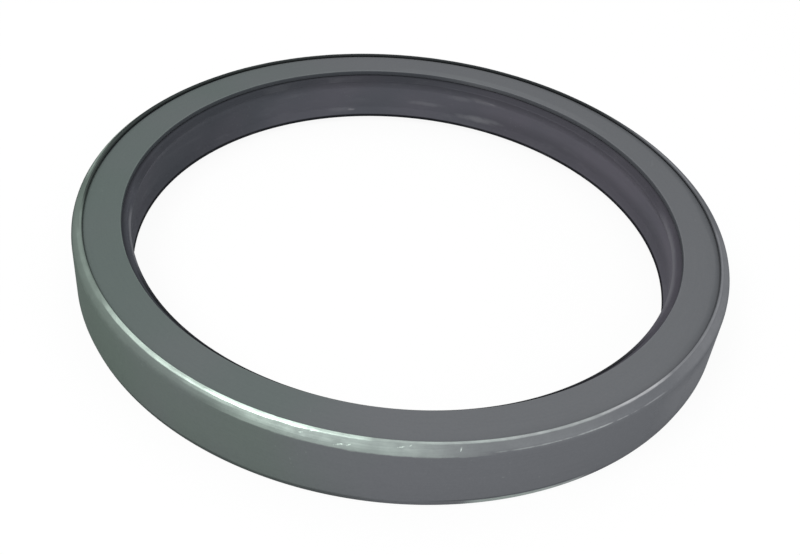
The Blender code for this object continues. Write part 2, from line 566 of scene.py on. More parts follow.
class Surface(Wiring):
    """The wiring of one material, round its surface shader."""

    def __init__(self, name: str) -> None:
        """Make the material.

        Args:
            name: Name of the material.
        """
        self.material = bpy.data.materials.new(name)
        self.material.use_nodes = True
        self.material.node_tree.nodes.clear()
        super().__init__(self.material.node_tree)
        self.shader = self.add("ShaderNodeBsdfPrincipled")
        self.output = self.add("ShaderNodeOutputMaterial")
        self.feed(self.output.inputs["Surface"], self.shader.outputs["BSDF"])
        self.spot = self.add("ShaderNodeTexCoord").outputs["Object"]

    def shade(self, **inputs: Value) -> None:
        """Feed the surface shader's inputs by name."""
        self.feed_named(self.shader, inputs)

    def raise_grain(self, height: Value, strength: float, distance: float) -> None:
        """Bump the surface with a relief of a strength and a depth."""
        self.shade(Normal=self.put("ShaderNodeBump", "Normal", Height=height, Strength=strength,
                                   Distance=distance))

    def grain(self, effects: Effects, along: float, across: float) -> Socket:
        """Draw fine lines round the axis, at a pitch along and across them."""
        track = self.place(effects.turned_place, Place=self.spot)["Track"]
        return self.place(effects.turning_grain, Track=track, Along=along, Across=across)["Lines"]

    def wear_and_painted_light_mask(self, effects: Effects, edges: tuple[WearAndPaintedLightEdge, ...]) -> Value:
        """Join the masks of several edge bands of scuffed steel, painted shade and painted
        highlights.

        Args:
            effects: The shared node groups.
            edges: The edges to join.

        Returns:
            The strongest mask at each place.
        """
        turned = self.place(effects.turned_place, Place=self.spot)
        total: Value = 0.0
        for edge in edges:
            mask = edge.mask(self, effects, turned["Radius"], turned["Height"])
            total = self.math("MAXIMUM", total, mask)
        return total

    def marked(self, effects: Effects, total: Value, marks: tuple[Mark, ...]) -> Value:
        """Add short marks to a mask.

        Args:
            effects: The shared node groups.
            total: The mask so far.
            marks: The marks.

        Returns:
            The strongest mask at each place.
        """
        for mark in marks:
            total = self.math("MAXIMUM", total, mark.mask(self, effects))
        return total


@dataclass(frozen=True)
class SteelFinish:
    """Grey phosphated steel, scuffed bright along its edges, with painted highlights and painted
    shade along some of them.

    Attributes:
        name: Name of the material.
        left_tint: Colour on the side towards -X, slightly green.
        right_tint: Colour on the side towards +X, neutral to violet.
        bare_and_highlight_left: Colour of the bare steel and of the painted highlights on the side
            towards -X.
        bare_and_highlight_right: Colour of the bare steel and of the painted highlights on the side
            towards +X.
        painted_shade_and_grain: Colour of the painted shade in the gap under the crimp and along
            shaded edges, and of the grain lines.
        worn_roughness: Roughness of the bare steel.
        edges: Edge bands of scuffed bare steel, some of them painted highlights.
        painted_shade_edges: Edge bands of painted shade.
        marks: Short bright marks.
        roughness: Roughness of the coating.
        metallic: How metallic the coating looks.
        drift: Direction of the tint's drift, as long as one over its reach.
        coat_offset: Share of the reach by which the right tint spreads to the left.
        steel_offset: The same for the bare steel.
    """

    name: str
    left_tint: Colour
    right_tint: Colour
    bare_and_highlight_left: Colour
    bare_and_highlight_right: Colour
    painted_shade_and_grain: Colour
    worn_roughness: float
    edges: tuple[WearAndPaintedLightEdge, ...]
    painted_shade_edges: tuple[WearAndPaintedLightEdge, ...]
    marks: tuple[Mark, ...] = ()
    roughness: float = 0.5
    metallic: float = 0.15
    drift: tuple[float, float, float] = (20.0, 3.0, 0.0)
    coat_offset: float = 1.0
    steel_offset: float = -0.55

    GRAIN_PITCH = (5.0, 2600.0)
    RUB_PITCH = (45.0, 1500.0)
    CRYSTALS = (1500.0, 3.0, 0.7)
    BLOTCHES = (170.0, 3.0, 0.6)
    PATCHES = {"Patch_Scale": 22.0, "Patch_Strength": 2.4}
    SCRATCHES = {"Cut": 0.74, "Patch_Scale": 60.0, "Stretch": (1500.0, 160.0, 900.0)}
    SCRATCH_SHARE = 0.05
    GRAIN_ROUGHNESS = 0.12
    SHEEN = (0.12, 0.12, 0.12, 1.0)
    RELIEF = (0.12, 0.05 * MM)

    def drifted(self, surface: Surface, effects: Effects, offset: float) -> Socket:
        """Give the right tint's share at each place, for an offset."""
        return surface.place(effects.tint_drift, Place=surface.spot, Toward=self.drift,
                             Offset=offset, **self.PATCHES)["Share"]

    def bare_and_highlight_mask(self, surface: Surface, effects: Effects, scratch: Socket) -> Value:
        """Mask where the coating is scuffed through, and where highlights are painted as bare steel.

        Args:
            surface: The material.
            effects: The shared node groups.
            scratch: Mask of the scratches.

        Returns:
            The mask.
        """
        rub = surface.grain(effects, *self.RUB_PITCH)
        bare_and_highlight = surface.wear_and_painted_light_mask(effects, self.edges)
        bare_and_highlight = surface.math("MULTIPLY", bare_and_highlight, surface.fade(rub, 0.3, 0.7, 0.9, 1.06))
        blotch = surface.noise(surface.spot, *self.BLOTCHES)
        blotch = surface.fade(blotch, 0.35, 0.65, 0.84, 1.1)
        bare_and_highlight = surface.math("MULTIPLY", bare_and_highlight, blotch)
        faint = surface.math("MULTIPLY", scratch, self.SCRATCH_SHARE)
        return surface.marked(effects, surface.math("MAXIMUM", bare_and_highlight, faint), self.marks)

    def build(self, effects: Effects) -> bpy.types.Material:
        """Build the material.

        Args:
            effects: The shared node groups.

        Returns:
            The material.
        """
        surface = Surface(self.name)
        lines = surface.grain(effects, *self.GRAIN_PITCH)
        crystals = surface.noise(surface.spot, *self.CRYSTALS)
        scratch = surface.place(effects.scratches, Place=surface.spot, **self.SCRATCHES)["Mask"]
        coat = surface.blend(self.drifted(surface, effects, self.coat_offset),
                             self.left_tint, self.right_tint)
        shade = surface.math("ADD", surface.fade(lines, 0.3, 0.7, 0.0, 0.04),
                             surface.fade(crystals, 0.35, 0.7, 0.0, 0.06))
        coat = surface.blend(shade, coat, self.painted_shade_and_grain)
        bare = surface.blend(self.drifted(surface, effects, self.steel_offset),
                             self.bare_and_highlight_left, self.bare_and_highlight_right)
        # Bare steel where the coating is scuffed through, and highlights painted as bare steel.
        bare_and_highlight = self.bare_and_highlight_mask(surface, effects, scratch)
        # Painted shade: darkens gaps and shaded edges towards the shade colour.
        painted_shade_and_grain = surface.wear_and_painted_light_mask(effects, self.painted_shade_edges)
        rough = surface.math("MULTIPLY_ADD", lines, self.GRAIN_ROUGHNESS,
                             self.roughness - self.GRAIN_ROUGHNESS / 2)
        span = self.worn_roughness - self.roughness
        metal = surface.math("MULTIPLY_ADD", bare_and_highlight, 1.0 - self.metallic, self.metallic)
        surface.shade(
            Base_Color=surface.blend(painted_shade_and_grain, surface.blend(bare_and_highlight, coat, bare), self.painted_shade_and_grain),
            Roughness=surface.math("MULTIPLY_ADD", bare_and_highlight, span, rough), Metallic=metal,
            Specular_IOR_Level=0.0, Specular_Tint=self.SHEEN,
        )
        relief = surface.math("MULTIPLY_ADD", crystals, 0.8, surface.math("MULTIPLY", scratch, -0.5))
        surface.raise_grain(surface.math("ADD", relief, lines), *self.RELIEF)
        return surface.material


@dataclass(frozen=True)
class RubberFinish:
    """Moulded dark rubber with a light film of dust, and with painted shade, painted highlights and
    painted reflection streaks.

    Attributes:
        name: Name of the material.
        body: Colour of the clean rubber.
        bloom: Colour of the rubber where it has bloomed.
        dust: Colour of the dust film and specks, and of the painted highlights and painted
            reflection streaks.
        painted_shade_colour: Colour of the painted shade.
        roughness: Roughness of the clean rubber.
        painted_shade_bands: Edge bands of painted shade.
        painted_highlight_edges: Painted highlights along the sealing lip's edge.
        painted_reflections: Short light streaks painted as reflections.
        drift: Direction of the tint's drift, as long as one over its reach.
    """

    name: str
    body: Colour
    bloom: Colour
    dust: Colour
    painted_shade_colour: Colour
    roughness: float
    painted_shade_bands: tuple[WearAndPaintedLightEdge, ...]
    painted_highlight_edges: tuple[WearAndPaintedLightEdge, ...]
    painted_reflections: tuple[Mark, ...]
    drift: tuple[float, float, float] = (8.3, 0.0, 0.0)

    GRAIN_PITCH = (6.0, 260.0)
    PORES = (2500.0, 3.0, 0.6)
    RELIEF = (0.25, 0.04 * MM)
    PATCHES = {"Patch_Scale": 30.0, "Patch_Strength": 2.5}
    SPECKS = {"Speck_Scale": 700.0, "Speck_Size": 0.22, "Patch_Scale": 70.0}
    SPECK_SHARE = 0.10
    FILM_ROUGHNESS = 0.25
    SHEEN = 0.03

    def build(self, effects: Effects) -> bpy.types.Material:
        """Build the material.

        Args:
            effects: The shared node groups.

        Returns:
            The material.
        """
        surface = Surface(self.name)
        drift = surface.place(effects.tint_drift, Place=surface.spot, Toward=self.drift, Offset=0.0,
                              **self.PATCHES)
        body = surface.blend(drift["Share"], self.body, self.bloom)
        film = surface.fade(surface.grain(effects, *self.GRAIN_PITCH), 0.5, 0.8, 0.0, 0.08)
        specks = surface.place(effects.specks, Place=surface.spot, **self.SPECKS)
        dusty = surface.math("MULTIPLY", specks["Mask"], self.SPECK_SHARE)
        # The film also takes light streaks painted as reflections.
        film = surface.marked(effects, surface.math("MAXIMUM", film, dusty), self.painted_reflections)
        # Painted highlights along the lip's edge join the film, in the dust colour.
        film = surface.math("MAXIMUM", film, surface.wear_and_painted_light_mask(effects, self.painted_highlight_edges))
        # Painted shade darkens the rubber under the face's edge and over the lips.
        dark = surface.blend(surface.wear_and_painted_light_mask(effects, self.painted_shade_bands), body, self.painted_shade_colour)
        surface.shade(
            Base_Color=surface.blend(film, dark, self.dust), Specular_IOR_Level=self.SHEEN,
            Roughness=surface.math("MULTIPLY_ADD", film, self.FILM_ROUGHNESS, self.roughness),
        )
        surface.raise_grain(surface.noise(surface.spot, *self.PORES), *self.RELIEF)
        return surface.material


@dataclass(frozen=True)
class SpringFinish:
    """Bright drawn spring wire under a thin coat of grease.

    Attributes:
        name: Name of the material.
        wire: Colour of the wire.
        grease: Colour where grease has stayed.
        roughness: Roughness of the wire.
    """

    name: str
    wire: Colour
    grease: Colour
    roughness: float

    DRAW_MARKS = (6000.0, 2.0)
    RELIEF = (0.1, 0.02 * MM)
    GREASE = {"Speck_Scale": 600.0, "Speck_Size": 0.4, "Patch_Scale": 55.0}
    GREASE_ROUGHNESS = 0.2

    def build(self, effects: Effects) -> bpy.types.Material:
        """Build the material.

        Args:
            effects: The shared node groups.

        Returns:
            The material.
        """
        surface = Surface(self.name)
        film = surface.place(effects.specks, Place=surface.spot, **self.GREASE)["Film"]
        surface.shade(
            Base_Color=surface.blend(film, self.wire, self.grease), Metallic=1.0,
            Roughness=surface.math("MULTIPLY_ADD", film, self.GREASE_ROUGHNESS, self.roughness),
        )
        surface.raise_grain(surface.noise(surface.spot, *self.DRAW_MARKS), *self.RELIEF)
        return surface.material


@dataclass(frozen=True)
class Corner:
    """One corner of a section.

    Attributes:
        radius: Distance from the axis.
        height: Height over the base.
        rounding: Radius that rounds the corner, or 0 for a sharp one.
    """

    radius: float
    height: float
    rounding: float = 0.0


class Section:
    """The closed outline of a turned piece, in radius and height, clockwise."""

    ARC_STEP = 14.0
    GUARD = 0.06 * MM

    def __init__(self, spacing: float) -> None:
        """Start an empty outline.

        Args:
            spacing: Longest distance between its points.
        """
        self.spacing = spacing
        self.items: list[Corner] = []

    def corner(self, radius: float, height: float, rounding: float = 0.0) -> None:
        """Add a corner at a distance from the axis and a height, rounded by a radius."""
        self.items.append(Corner(radius, height, rounding))

    def arc(self, centre: Point, radius: float, start: float, end: float) -> None:
        """Add an arc.

        Args:
            centre: Radius and height of its centre.
            radius: Its own radius.
            start: Angle where it starts, from the outward direction.
            end: Angle where it ends.
        """
        steps = max(2, round(abs(end - start) / self.ARC_STEP))
        for step in range(steps + 1):
            angle = math.radians(start + (end - start) * step / steps)
            self.corner(centre[0] + radius * math.cos(angle), centre[1] + radius * math.sin(angle))

    def rounded(self) -> list[Point]:
        """Round the corners.

        Returns:
            The outline's points with every fillet drawn.
        """
        points: list[Point] = []
        count = len(self.items)
        for index, item in enumerate(self.items):
            here = Vector((item.radius, item.height))
            if not item.rounding:
                points.append((here.x, here.y))
                continue
            before, after = self.items[index - 1], self.items[(index + 1) % count]
            back = (Vector((before.radius, before.height)) - here).normalized()
            ahead = (Vector((after.radius, after.height)) - here).normalized()
            half = back.angle(ahead) / 2
            middle = here + (back + ahead).normalized() * (item.rounding / math.sin(half))
            first = here + back * (item.rounding / math.tan(half)) - middle
            last = here + ahead * (item.rounding / math.tan(half)) - middle
            sweep = math.atan2(first.x * last.y - first.y * last.x, first.dot(last))
            steps = max(3, round(math.degrees(abs(sweep)) / self.ARC_STEP))
            for step in range(steps + 1):
                turn = Matrix.Rotation(sweep * step / steps, 2) @ first
                points.append((middle.x + turn.x, middle.y + turn.y))
        return points

    def outline(self) -> list[Point]:
        """Space the points out along the straight runs.

        Returns:
            The finished outline.
        """
        rough = self.rounded()
        points: list[Point] = []
        for index, start in enumerate(rough):
            end = rough[(index + 1) % len(rough)]
            run = math.dist(start, end)
            points.append(start)
            if run < 4 * self.GUARD:
                continue
            inner = run - 2 * self.GUARD
            steps = max(1, math.ceil(inner / self.spacing))
            for step in range(steps + 1):
                share = (self.GUARD + inner * step / steps) / run
                points.append((start[0] + (end[0] - start[0]) * share,
                               start[1] + (end[1] - start[1]) * share))
        return points


def section_mesh(name: str, outline: list[Point]) -> bpy.types.Object:
    """Draw an outline as a loop of edges in the XZ plane.

    Args:
        name: Name of the object.
        outline: Radius and height of each point.

    Returns:
        The object, in the scene.
    """
    mesh = bpy.data.meshes.new(name)
    count = len(outline)
    edges = [(index, (index + 1) % count) for index in range(count)]
    mesh.from_pydata([(radius, 0.0, height) for radius, height in outline], edges, [])
    return add_object(name, mesh)


class Lathe:
    """Geometry Nodes that turn a section round the axis, with a rim that is slightly uneven."""

    INPUTS = (
        sockets(SHAPE, "Section") | sockets(COUNT, "Steps")
        | sockets(FLOAT, "Path Radius", "Uneven Depth", "Uneven Scale", "Uneven From",
                  "Uneven To", "Seed", "Dent Reach", "Dent Depth")
        | sockets("NodeSocketObject", "Dents") | sockets("NodeSocketMaterial", "Finish")
    )
    UPRIGHT = (math.radians(90), 0.0, 0.0)

    def __init__(self) -> None:
        """Build the tree once."""
        group = Group("turned_ring", self.INPUTS, sockets(SHAPE, "Ring"), "GeometryNodeTree")
        turned = self.dent(group, self.roll_rim(group, self.sweep(group)))
        self.tree = group.close(Ring=group.dress(turned, group.given["Finish"]))

    def sweep(self, group: Group) -> Socket:
        """Sweep the section round a circle.

        Args:
            group: The tree and its inputs.

        Returns:
            The swept mesh.
        """
        given = group.given
        inward = group.math("MULTIPLY", given["Path Radius"], -1.0)
        laid = group.put("GeometryNodeTransform", "Geometry", Geometry=given["Section"],
                         Translation=group.join(inward, 0.0, 0.0), Rotation=self.UPRIGHT)
        profile = group.put("GeometryNodeMeshToCurve", "Curve", Mesh=laid)
        path = group.put("GeometryNodeCurvePrimitiveCircle", "Curve", Resolution=given["Steps"],
                         Radius=given["Path Radius"])
        return group.put("GeometryNodeCurveToMesh", "Mesh", Curve=path, Profile_Curve=profile)

    def roll_rim(self, group: Group, mesh: Socket) -> Socket:
        """Make the rim uneven, as a crimping roller leaves it.

        Args:
            group: The tree and its inputs.
            mesh: The swept mesh.

        Returns:
            The mesh with its uneven rim.
        """
        given = group.given
        place = group.add("GeometryNodeInputPosition").outputs["Position"]
        x, y, z = group.parts(place)
        shifted = group.vector("ADD", place, group.join(given["Seed"], 0.0, 0.0))
        wave = group.noise(shifted, given["Uneven Scale"])
        weight = group.fade(z, given["Uneven From"], given["Uneven To"])
        depth = group.math("MULTIPLY", group.math("MULTIPLY", wave, weight), given["Uneven Depth"])
        outward = group.vector("NORMALIZE", group.join(x, y, 0.0))
        inward = group.scaled(outward, group.math("MULTIPLY", depth, -1.0))
        drop = group.join(0.0, 0.0, group.math("MULTIPLY", depth, -0.5))
        return group.put("GeometryNodeSetPosition", "Geometry", Geometry=mesh,
                         Offset=group.vector("ADD", inward, drop))

    def dent(self, group: Group, mesh: Socket) -> Socket:
        """Press small dents in wherever the dent points lie.

        Args:
            group: The tree and its inputs.
            mesh: The mesh to dent.

        Returns:
            The dented mesh.
        """
        given = group.given
        points = group.put("GeometryNodeObjectInfo", "Geometry", Object=given["Dents"])
        near = group.add("GeometryNodeProximity", target_element="POINTS")
        away = group.fill(near, "Distance", points)
        hollow = group.fade(away, 0.0, given["Dent Reach"], 1.0, 0.0)
        reached = group.math("MULTIPLY", hollow, given["Dent Depth"])
        normal = group.add("GeometryNodeInputNormal").outputs["Normal"]
        push = group.scaled(normal, group.math("MULTIPLY", reached, -1.0))
        return group.put("GeometryNodeSetPosition", "Geometry", Geometry=mesh, Offset=push)


def baked(draft: bpy.types.Object, tree: bpy.types.NodeTree, values: dict[str, object],
          name: str) -> bpy.types.Object:
    """Run a Geometry Nodes tree on a draft object and keep the result as a plain mesh.

    Args:
        draft: The object that the tree starts from.
        tree: The tree.
        values: Its inputs by name.
        name: Name of the finished piece.

    Returns:
        The finished piece.
    """
    modifier = draft.modifiers.new(name, "NODES")
    modifier.node_group = tree
    items = [item for item in tree.interface.items_tree if item.in_out == "INPUT"]
    keys = {item.name: item.identifier for item in items}
    for label, value in values.items():
        modifier[keys[label]] = value
    graph = bpy.context.evaluated_depsgraph_get()
    mesh = bpy.data.meshes.new_from_object(draft.evaluated_get(graph))
    mesh.name = name
    mesh.set_sharp_from_angle(angle=math.radians(SMOOTH_ANGLE))
    bpy.data.objects.remove(draft)
    return add_object(name, mesh)


def place_piece(piece: bpy.types.Object, node: str) -> None:
    """Let a finished piece stand for its CAD node.

    Args:
        piece: The piece.
        node: Name of the CAD node.
    """
    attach(piece, "root")
    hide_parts(node)
    log.info("%s: %d faces", piece.name, len(piece.data.polygons))


class TurnedPiece:
    """A piece of the seal that is turned from its section."""

    NAME: str
    NODE: str
    SLOT: Slot
    SPACING = 0.7 * MM
    RIM = {"Uneven Scale": 100.0, "Uneven From": 19.0 * MM, "Uneven To": 20.0 * MM,
           "Dent Reach": 1.0 * MM}

    radius: float
    steps: int

    def section(self) -> list[Point]:
        """Draw the piece's section, clockwise."""
        raise NotImplementedError

    def turn(self, lathe: Lathe, finish: bpy.types.Material, rim: dict[str, object]) -> None:
        """Turn the piece and let it stand for its CAD node.

        Args:
            lathe: The turning tree.
            finish: The piece's material.
            rim: Values of the tree that shape an uneven, dented rim.
        """
        draft = section_mesh(f"{self.NAME}_section", self.section())
        values = {"Path Radius": self.radius, "Steps": self.steps, "Finish": finish}
        place_piece(baked(draft, lathe.tree, values | self.RIM | rim, self.NAME), self.NODE)

    def build(self, lathe: Lathe, finish: bpy.types.Material) -> None:
        """Turn the piece with an even rim."""
        self.turn(lathe, finish, {})


@dataclass
class OuterCase(TurnedPiece):
    """The drawn steel cup, crimped inwards over the inner case.

    Attributes:
        radius: Outer radius of its wall.
        width: Height from the base to the crest.
        sheet: Thickness of its steel.
        bend: Inside radius of the bend at the base.
        base_inner: Inner radius of the base.
        bevel_height: Height of the bevel at the bottom edge.
        bevel_width: Width of that bevel.
        bevel_round: Rounding of the bevel's two edges.
        crimp_reach: How far the crimp leans in.
        crimp_fall: How far it falls from the crest to the wall.
        crimp_round: Rounding between the crimp and the wall.
        crest_land: Width of the level crest before its sides are rounded.
        crest_round: Rounding of the crest's inner side.
        crest_roll: Rounding where the crest rolls over into the cone.
        seat: Gap over the inner case.
        inner_bend: Outer bend radius of the inner case, which the crimp follows.
        inner_radius: Outer radius of the inner case.
        face_height: Height of the inner case's face.
        steps: Faces round the ring.
        dents: Azimuth of each dent in the crimp, and its radius and height in millimetres.
    """

    radius: float = 95.0 * MM
    width: float = 20.0 * MM
    sheet: float = 1.5 * MM
    bend: float = 0.8 * MM
    base_inner: float = 84.0 * MM
    bevel_height: float = 2.0 * MM
    bevel_width: float = 0.55 * MM
    bevel_round: float = 0.6 * MM
    crimp_reach: float = 3.0 * MM
    crimp_fall: float = 1.7 * MM
    crimp_round: float = 2.2 * MM
    crest_land: float = 0.7 * MM
    crest_round: float = 0.3 * MM
    crest_roll: float = 1.0 * MM
    seat: float = 0.3 * MM
    inner_bend: float = 2.2 * MM
    inner_radius: float = 93.2 * MM
    face_height: float = 19.2 * MM
    steps: int = 640
    dents: tuple[tuple[float, float, float], ...] = (
        (255.0, 92.8, 19.9), (258.8, 94.0, 19.0), (260.2, 92.9, 19.9),
        (264.6, 94.4, 18.8), (273.3, 93.4, 19.5), (281.5, 93.8, 19.2),
    )

    NAME = "crimped_case"
    NODE = "outer_case"
    SLOT = Slot.CASE
    ROLLED = {"Uneven Depth": 0.10 * MM, "Uneven Scale": 140.0, "Seed": 0.4,
              "Dent Reach": 1.2 * MM, "Dent Depth": 0.26 * MM}

    def section(self) -> list[Point]:
        """Draw the case's section.

        Returns:
            The outline, clockwise from the crest.
        """
        tip = self.radius - self.crimp_reach
        centre = (self.inner_radius - self.inner_bend, self.face_height - self.inner_bend)
        under = self.inner_bend + self.seat
        lean = math.degrees(math.acos((tip - centre[0]) / under))
        outline = Section(self.SPACING)
        outline.corner(tip, self.width, self.crest_round)
        outline.corner(tip + self.crest_land, self.width, self.crest_roll)
        outline.corner(self.radius, self.width - self.crimp_fall, self.crimp_round)
        outline.corner(self.radius, self.bevel_height, self.bevel_round)
        outline.corner(self.radius - self.bevel_width, 0.0, self.bevel_round)
        outline.corner(self.base_inner, 0.0)
        outline.corner(self.base_inner, self.sheet)
        outline.corner(self.radius - self.sheet, self.sheet, self.bend)
        outline.arc(centre, under, 0.0, lean)
        return outline.outline()

    def build(self, lathe: Lathe, finish: bpy.types.Material) -> None:
        """Turn the case with its uneven crest and its dents.

        Args:
            lathe: The turning tree.
            finish: The case's material.
        """
        spots = [toward(azimuth) * (radius * MM) + Vector((0.0, 0.0, height * MM))
                 for azimuth, radius, height in self.dents]
        mesh = bpy.data.meshes.new("dent_points")
        mesh.from_pydata([tuple(spot) for spot in spots], [], [])
        points = add_object("dent_points", mesh)
        self.turn(lathe, finish, self.ROLLED | {"Dents": points})
        bpy.data.objects.remove(points)


@dataclass
class InnerCase(TurnedPiece):
    """The pressed steel ring whose flat face shows inside the crimp.

    Attributes:
        radius: Outer radius of its wall.
        face_height: Height of its face.
        face_inner: Inner radius of its face.
        foot: Height of its lower edge.
        sheet: Thickness of its steel.
        outer_bend: Outer radius of its bend.
        bend: Inside radius of its bend.
        edge_round: Rounding of the face's inner edge.
        steps: Faces round the ring.
    """

    radius: float = 93.2 * MM
    face_height: float = 19.2 * MM
    face_inner: float = 81.5 * MM
    foot: float = 4.6 * MM
    sheet: float = 1.5 * MM
    outer_bend: float = 2.2 * MM
    bend: float = 0.7 * MM
    edge_round: float = 0.3 * MM
    steps: int = 640

    NAME = "faced_inner_case"
    NODE = "inner_case"
    SLOT = Slot.FACE
    SPACING = 0.8 * MM

    def section(self) -> list[Point]:
        """Draw the ring's section.

        Returns:
            The outline, clockwise from the outer bend.
        """
        outline = Section(self.SPACING)
        outline.corner(self.radius, self.face_height, self.outer_bend)
        outline.corner(self.radius, self.foot)
        outline.corner(self.radius - self.sheet, self.foot)
        outline.corner(self.radius - self.sheet, self.face_height - self.sheet, self.bend)
        outline.corner(self.face_inner, self.face_height - self.sheet)
        outline.corner(self.face_inner, self.face_height, self.edge_round)
        return outline.outline()


@dataclass
class SealLip(TurnedPiece):
    """The moulded rubber element, with its dust lip, flex wall, sealing lip and spring groove.

    Attributes:
        radius: Outer radius of the clamped heel.
        heel_under: Underside of the heel.
        heel_top: Top of the heel.
        heel_round: Rounding of the heel's lower edge.
        heel_fillet: Fillet between the heel and the wall's back.
        wall_front: Radius of the wall's bore side.
        wall_back: Radius of the wall's back.
        wall_blend: Rounding at both ends of the wall's bore side.
        dust_tip: Radius of the dust lip's edge.
        dust_lift: Height of that edge.
        dust_foot: Radius where the dust lip leaves the heel.
        dust_top: Height where the dust lip joins the wall.
        lip_radius: Radius of the sealing edge.
        lip_height: Height of the sealing edge.
        lip_round: Rounding of the sealing edge.
        lip_start: Height where the sealing lip leaves the wall.
        head_top: Top of the head.
        head_front: Radius of the head's front corner.
        head_back: Radius of the head's back corner.
        head_round: Rounding of the head's corners.
        spring_radius: Radius of the spring's centre line.
        spring_height: Height of the spring's centre line.
        groove: Radius of the groove.
        groove_start: Angle where the groove's arc starts.
        groove_end: Angle where it ends.
        shoulder: Radius and height of the shoulder's two corners.
        steps: Faces round the ring.
    """

    radius: float = 93.2 * MM
    heel_under: float = 1.8 * MM
    heel_top: float = 4.3 * MM
    heel_round: float = 0.8 * MM
    heel_fillet: float = 1.4 * MM
    wall_front: float = 80.5 * MM
    wall_back: float = 82.3 * MM
    wall_blend: float = 1.0 * MM
    dust_tip: float = 79.2 * MM
    dust_lift: float = 2.2 * MM
    dust_foot: float = 82.0 * MM
    dust_top: float = 5.4 * MM
    lip_radius: float = 78.95 * MM
    lip_height: float = 16.4 * MM
    lip_round: float = 0.10 * MM
    lip_start: float = 13.2 * MM
    head_top: float = 17.4 * MM
    head_front: float = 79.95 * MM
    head_back: float = 83.4 * MM
    head_round: float = 0.3 * MM
    spring_radius: float = 82.55 * MM
    spring_height: float = 15.0 * MM
    groove: float = 1.6 * MM
    groove_start: float = 57.9
    groove_end: float = 286.3
    shoulder: tuple[Point, Point] = ((83.0 * MM, 12.86 * MM), (82.3 * MM, 12.06 * MM))
    steps: int = 504

    NAME = "moulded_lip"
    NODE = "seal_lip"
    SLOT = Slot.RUBBER

    def section(self) -> list[Point]:
        """Draw the lip's section.

        Returns:
            The outline, clockwise from the head's back corner.
        """
        outline = Section(self.SPACING)
        outline.corner(self.head_back, self.head_top, self.head_round)
        outline.arc((self.spring_radius, self.spring_height), self.groove, self.groove_start,
                    self.groove_end)
        for radius, height in self.shoulder:
            outline.corner(radius, height)
        outline.corner(self.wall_back, self.heel_top, self.heel_fillet)
        outline.corner(self.radius, self.heel_top)
        outline.corner(self.radius, self.heel_under, self.heel_round)
        outline.corner(self.dust_foot, self.heel_under)
        outline.corner(self.dust_tip, self.dust_lift)
        outline.corner(self.wall_front, self.dust_top, self.wall_blend)
        outline.corner(self.wall_front, self.lip_start, self.wall_blend)
        outline.corner(self.lip_radius, self.lip_height, self.lip_round)
        outline.corner(self.head_front, self.head_top, self.head_round)
        return outline.outline()


@dataclass
class GarterSpring:
    """The close-wound coil spring in the groove behind the sealing lip.

    Attributes:
        ring_radius: Radius of its centre line.
        height: Height of its centre line.
        coil_radius: Outer radius of the coil.
        wire: Diameter of the wire.
        turns: Turns round the ring.
        turn_steps: Points on each turn.
        wire_sides: Sides of the wire.
    """

    ring_radius: float = 82.55 * MM
    height: float = 15.0 * MM
    coil_radius: float = 1.3 * MM
    wire: float = 0.56 * MM
    turns: int = 864
    turn_steps: int = 12
    wire_sides: int = 6

    INPUTS = (
        sockets(SHAPE, "Draft")
        | sockets(FLOAT, "Ring Radius", "Ring Height", "Coil Radius", "Wire Radius")
        | sockets(COUNT, "Turns", "Turn Steps", "Wire Sides")
        | sockets("NodeSocketMaterial", "Finish")
    )

    def coil_tree(self) -> bpy.types.NodeTree:
        """Build the tree that winds the wire.

        Returns:
            The tree.
        """
        group = Group("wound_spring", self.INPUTS, sockets(SHAPE, "Spring"), "GeometryNodeTree")
        given = group.given
        count = group.math("MULTIPLY", given["Turns"], given["Turn Steps"])
        line = group.put("GeometryNodeMeshLine", "Mesh", Count=count)
        share = group.math("DIVIDE", group.add("GeometryNodeInputIndex").outputs["Index"], count)
        around = group.math("MULTIPLY", share, math.tau)
        winding = group.math("MULTIPLY", around, given["Turns"])
        out = group.math("MULTIPLY", group.math("COSINE", winding), given["Coil Radius"])
        up = group.math("MULTIPLY", group.math("SINE", winding), given["Coil Radius"])
        radius = group.math("ADD", given["Ring Radius"], out)
        spot = group.join(
            group.math("MULTIPLY", radius, group.math("COSINE", around)),
            group.math("MULTIPLY", radius, group.math("SINE", around)),
            group.math("ADD", given["Ring Height"], up),
        )
        moved = group.put("GeometryNodeSetPosition", "Geometry", Geometry=line, Position=spot)
        curve = group.put("GeometryNodeMeshToCurve", "Curve", Mesh=moved)
        closed = group.put("GeometryNodeSetSplineCyclic", "Geometry", Geometry=curve, Cyclic=True)
        wire = group.put("GeometryNodeCurvePrimitiveCircle", "Curve",
                         Resolution=given["Wire Sides"], Radius=given["Wire Radius"])
        wound = group.put("GeometryNodeCurveToMesh", "Mesh", Curve=closed, Profile_Curve=wire)
        return group.close(Spring=group.dress(wound, given["Finish"]))

    def build(self, finish: bpy.types.Material) -> None:
        """Wind the spring and let it stand for its CAD node.

        Args:
            finish: The wire's material.
        """
        draft = add_object("spring_draft", bpy.data.meshes.new("spring_draft"))
        values = {
            "Ring Radius": self.ring_radius,
            "Ring Height": self.height,
            "Coil Radius": self.coil_radius - self.wire / 2,
            "Wire Radius": self.wire / 2,
            "Turns": self.turns,
            "Turn Steps": self.turn_steps,
            "Wire Sides": self.wire_sides,
            "Finish": finish,
        }
        piece = baked(draft, self.coil_tree(), values, "wound_garter_spring")
        place_piece(piece, "garter_spring")


